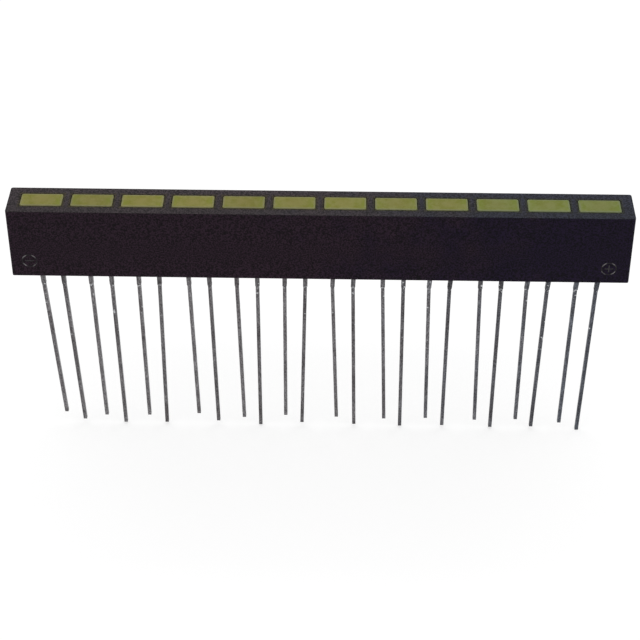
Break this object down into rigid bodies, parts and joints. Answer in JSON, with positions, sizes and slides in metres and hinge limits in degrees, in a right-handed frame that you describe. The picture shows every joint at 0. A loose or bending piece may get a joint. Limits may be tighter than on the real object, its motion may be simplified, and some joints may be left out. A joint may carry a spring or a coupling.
{
  "type": "led bar graph",
  "caption": "Row of rectangular diffused LED lamps in one slim black moulded housing, with long straight tinned leads below for soldering into a board.",
  "frame": {"origin": "middle of the housing's seating face, which meets the board", "axes": "+X along the row of lamps, cathode to anode in each lamp; +Z out of the windows, away from the board; +Y to the back"},
  "size_m": [0.0746, 0.0052, 0.0371],
  "materials": {
    "housing_plastic": "fine moulded, satin black",
    "lamp_epoxy": "diffused olive-yellow epoxy",
    "tinned_steel": "dull tin plate",
    "chip": "sawn crystal",
    "bond_wire": "drawn gold wire"
  },
  "bodies": {
    "root": {"housing": "housing_plastic", "lamp_01": "lamp_epoxy", "lamp_02": "lamp_epoxy", "lamp_03": "lamp_epoxy", "lamp_04": "lamp_epoxy", "lamp_05": "lamp_epoxy", "lamp_06": "lamp_epoxy", "lamp_07": "lamp_epoxy", "lamp_08": "lamp_epoxy", "lamp_09": "lamp_epoxy", "lamp_10": "lamp_epoxy", "lamp_11": "lamp_epoxy", "lamp_12": "lamp_epoxy", "cathode_lead_01": "tinned_steel", "cathode_lead_02": "tinned_steel", "cathode_lead_03": "tinned_steel", "cathode_lead_04": "tinned_steel", "cathode_lead_05": "tinned_steel", "cathode_lead_06": "tinned_steel", "cathode_lead_07": "tinned_steel", "cathode_lead_08": "tinned_steel", "cathode_lead_09": "tinned_steel", "cathode_lead_10": "tinned_steel", "cathode_lead_11": "tinned_steel", "cathode_lead_12": "tinned_steel", "anode_lead_01": "tinned_steel", "anode_lead_02": "tinned_steel", "anode_lead_03": "tinned_steel", "anode_lead_04": "tinned_steel", "anode_lead_05": "tinned_steel", "anode_lead_06": "tinned_steel", "anode_lead_07": "tinned_steel", "anode_lead_08": "tinned_steel", "anode_lead_09": "tinned_steel", "anode_lead_10": "tinned_steel", "anode_lead_11": "tinned_steel", "anode_lead_12": "tinned_steel", "led_chip_01": "chip", "led_chip_02": "chip", "led_chip_03": "chip", "led_chip_04": "chip", "led_chip_05": "chip", "led_chip_06": "chip", "led_chip_07": "chip", "led_chip_08": "chip", "led_chip_09": "chip", "led_chip_10": "chip", "led_chip_11": "chip", "led_chip_12": "chip", "bond_wires": "bond_wire"}
  },
  "joints": []
}
